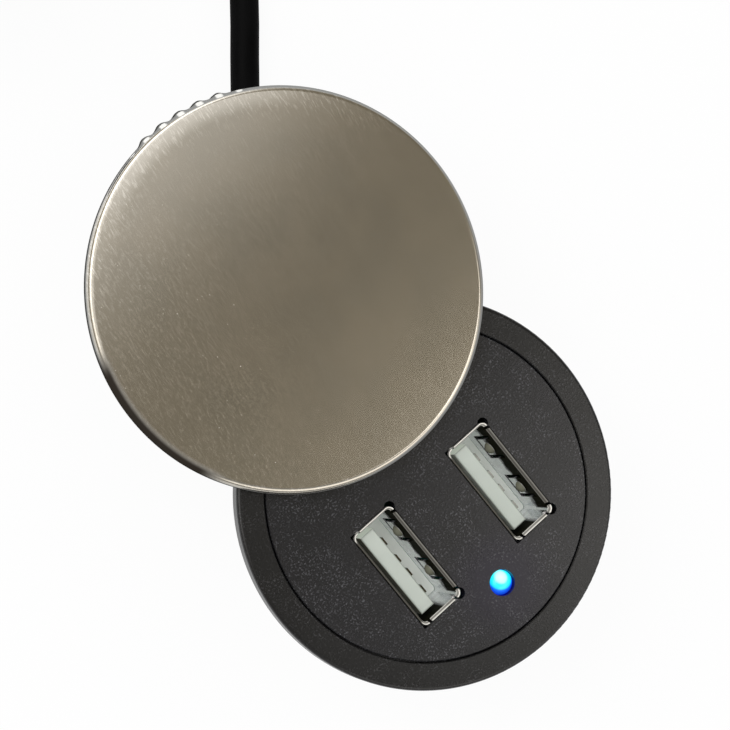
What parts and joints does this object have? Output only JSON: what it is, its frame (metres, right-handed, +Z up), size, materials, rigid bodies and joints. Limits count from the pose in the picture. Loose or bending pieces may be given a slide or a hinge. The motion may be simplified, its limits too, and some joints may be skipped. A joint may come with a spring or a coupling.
{
  "type": "usb desktop charger",
  "caption": "Round desk charger for a drilled hole: charging ports and a light in a black flanged body, a swivelling round metal cover, and a coiled supply cord with a plug.",
  "frame": {"origin": "centre of the body's base, in the plane that it stands on", "axes": "+Z up out of the ports, -Y from the centre towards the light, +Y towards the cover's pivot and the cord"},
  "size_m": [0.0663, 0.1498, 0.0242],
  "materials": {
    "body_plastic": "fine texture",
    "panel_plastic": "fine texture",
    "liner_plastic": "satin",
    "cover_metal": "brushed",
    "port_steel": "satin",
    "port_plastic": "satin",
    "contact_gold": "polished",
    "fastener_steel": "satin",
    "pivot_brass": "satin",
    "washer_plastic": "satin",
    "board_laminate": "satin",
    "chip_plastic": "matte",
    "capacitor_can": "satin",
    "light_plastic": "gloss",
    "light_lead_tin": "satin",
    "lead_red": "satin",
    "lead_black": "satin",
    "cord_rubber": "satin",
    "tie_rubber": "matte",
    "plug_plastic": "satin"
  },
  "bodies": {
    "body": {"housing": "body_plastic", "port_panel": "panel_plastic", "base_cap": "body_plastic", "base_screws": "fastener_steel", "board_screws": "fastener_steel", "circuit_board": "board_laminate", "light_lens": "light_plastic", "light_leads": "light_lead_tin", "charge_chips": "chip_plastic", "chip_resistors": "chip_plastic", "input_capacitors": "capacitor_can", "power_lead_positive": "lead_red", "power_lead_negative": "lead_black", "pivot_bush": "pivot_brass", "friction_washer": "washer_plastic", "travel_stop_pin": "fastener_steel", "cord_relief": "cord_rubber", "cord_lead": "cord_rubber", "cord_coil": "cord_rubber", "cord_tail": "cord_rubber", "cord_tie": "tie_rubber", "plug_body": "plug_plastic", "plug_shell": "port_steel", "plug_insulator": "port_plastic", "plug_contacts": "contact_gold", "usb_shell_left": "port_steel", "usb_shell_right": "port_steel", "usb_insulator_left": "port_plastic", "usb_insulator_right": "port_plastic", "usb_contacts_left": "contact_gold", "usb_contacts_right": "contact_gold"},
    "cover": {"cover_cap": "cover_metal", "cover_liner": "liner_plastic", "liner_screws": "fastener_steel", "pivot_screw": "fastener_steel", "spring_washer": "fastener_steel"}
  },
  "joints": [
    {"name": "cover_swivel", "type": "hinge", "parent": "body", "child": "cover", "pos_m": [0, 0.0139, 0.0216], "axis": [0, 0, 1], "range_deg": [-172.9, 7.1]}
  ]
}
